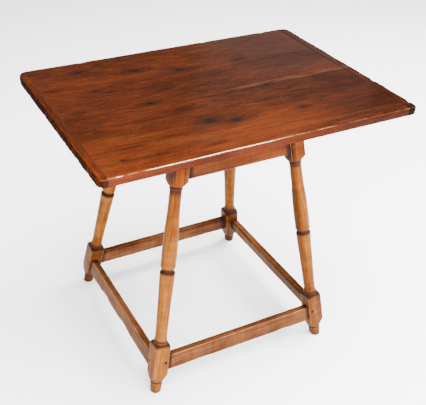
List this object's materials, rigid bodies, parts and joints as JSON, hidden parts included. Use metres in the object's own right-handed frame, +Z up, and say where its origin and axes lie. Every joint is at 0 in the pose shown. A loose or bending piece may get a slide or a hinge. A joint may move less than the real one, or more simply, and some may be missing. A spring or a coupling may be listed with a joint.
{
  "type": "tavern table",
  "caption": "Low splay-leg tavern table with a glued board top in cleated ends, turned block legs, aprons and box stretchers, pegged throughout.",
  "frame": {"origin": "on the floor, under the middle of the top", "axes": "+X along the length of the top, -Y towards the front, +Z up"},
  "size_m": [0.768, 0.534, 0.66],
  "materials": {
    "top_pine": "old shellac, semi-gloss",
    "leg_maple": "old shellac, satin",
    "rail_maple": "old shellac, satin",
    "peg_wood": "satin"
  },
  "bodies": {
    "root": {"top_board_front": "top_pine", "top_board_rear": "top_pine", "breadboard_end_left": "top_pine", "breadboard_pins_left": "peg_wood", "breadboard_end_right": "top_pine", "breadboard_pins_right": "peg_wood", "top_dowels": "peg_wood", "apron_front": "rail_maple", "stretcher_front": "rail_maple", "apron_rear": "rail_maple", "stretcher_rear": "rail_maple", "apron_left": "rail_maple", "stretcher_left": "rail_maple", "apron_right": "rail_maple", "stretcher_right": "rail_maple", "leg_front_left": "leg_maple", "apron_pegs_front_left": "peg_wood", "stretcher_pegs_front_left": "peg_wood", "leg_front_right": "leg_maple", "apron_pegs_front_right": "peg_wood", "stretcher_pegs_front_right": "peg_wood", "leg_rear_left": "leg_maple", "apron_pegs_rear_left": "peg_wood", "stretcher_pegs_rear_left": "peg_wood", "leg_rear_right": "leg_maple", "apron_pegs_rear_right": "peg_wood", "stretcher_pegs_rear_right": "peg_wood"}
  },
  "joints": []
}
